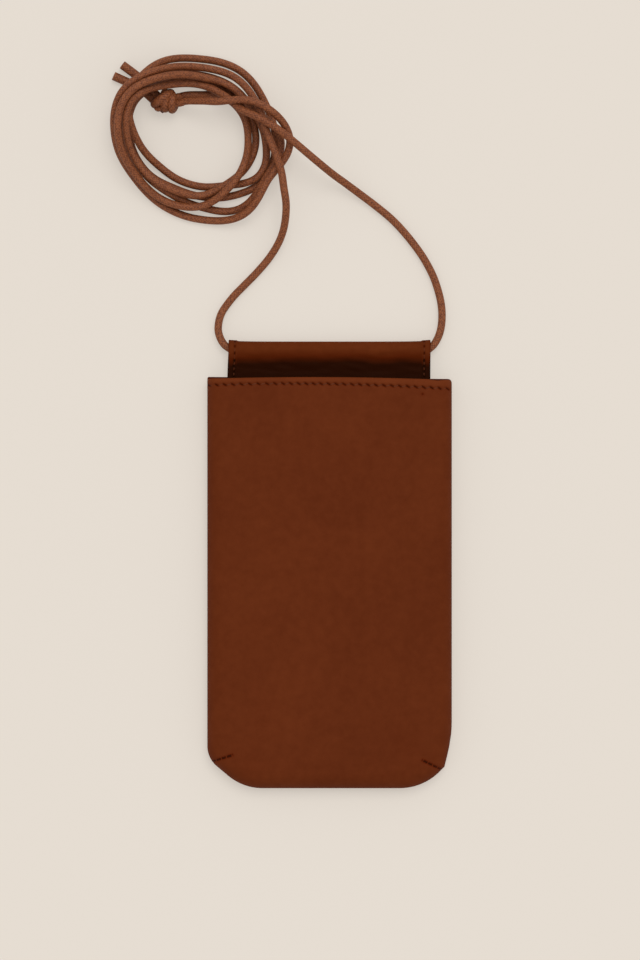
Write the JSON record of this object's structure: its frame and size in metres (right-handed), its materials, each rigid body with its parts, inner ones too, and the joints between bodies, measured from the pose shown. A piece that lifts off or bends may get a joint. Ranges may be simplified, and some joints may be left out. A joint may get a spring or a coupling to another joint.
{
  "type": "phone pouch",
  "caption": "Flat leather phone pouch with a hemmed open mouth, rounded bottom corners and a folded tab that carries a long round cord wound into a loose coil.",
  "frame": {"origin": "middle of the pouch and its tab in plan, on the surface that the pouch lies on", "axes": "+X to the pouch's right seen from the front, +Y from the bottom towards the mouth and the tab, +Z out of the front panel, up from the surface"},
  "size_m": [0.1535, 0.3295, 0.0183],
  "materials": {
    "panel_leather": "smooth matt calf leather, chestnut brown, faint fine grain",
    "tab_leather": "the same leather, thinner and softer, creased where it folds over the cord",
    "thread": "thin waxed sewing thread, a little lighter than the leather",
    "waxed_cord": "round waxed cotton cord, reddish brown, fine braid, low sheen"
  },
  "bodies": {
    "pouch": {"front_panel": "panel_leather", "back_panel": "panel_leather", "hem_stitches": "thread", "side_seam_stitches": "thread", "tab_seam_stitches": "thread", "dart_stitches_left": "thread", "dart_stitches_right": "thread", "cord_lead_left": "waxed_cord", "cord_lead_right": "waxed_cord", "cord_coil_left": "waxed_cord", "cord_coil_right": "waxed_cord", "cord_knot": "waxed_cord", "cord_tails": "waxed_cord"},
    "tab": {"hanger_tab": "tab_leather", "tab_edge_stitches_left": "thread", "tab_edge_stitches_right": "thread", "cord_in_tab": "waxed_cord"}
  },
  "joints": [
    {"name": "tab_flex", "type": "hinge", "parent": "pouch", "child": "tab", "pos_m": [0, 0.07565, 0.0015], "axis": [1, 0, 0], "range_deg": [0, 25]}
  ]
}
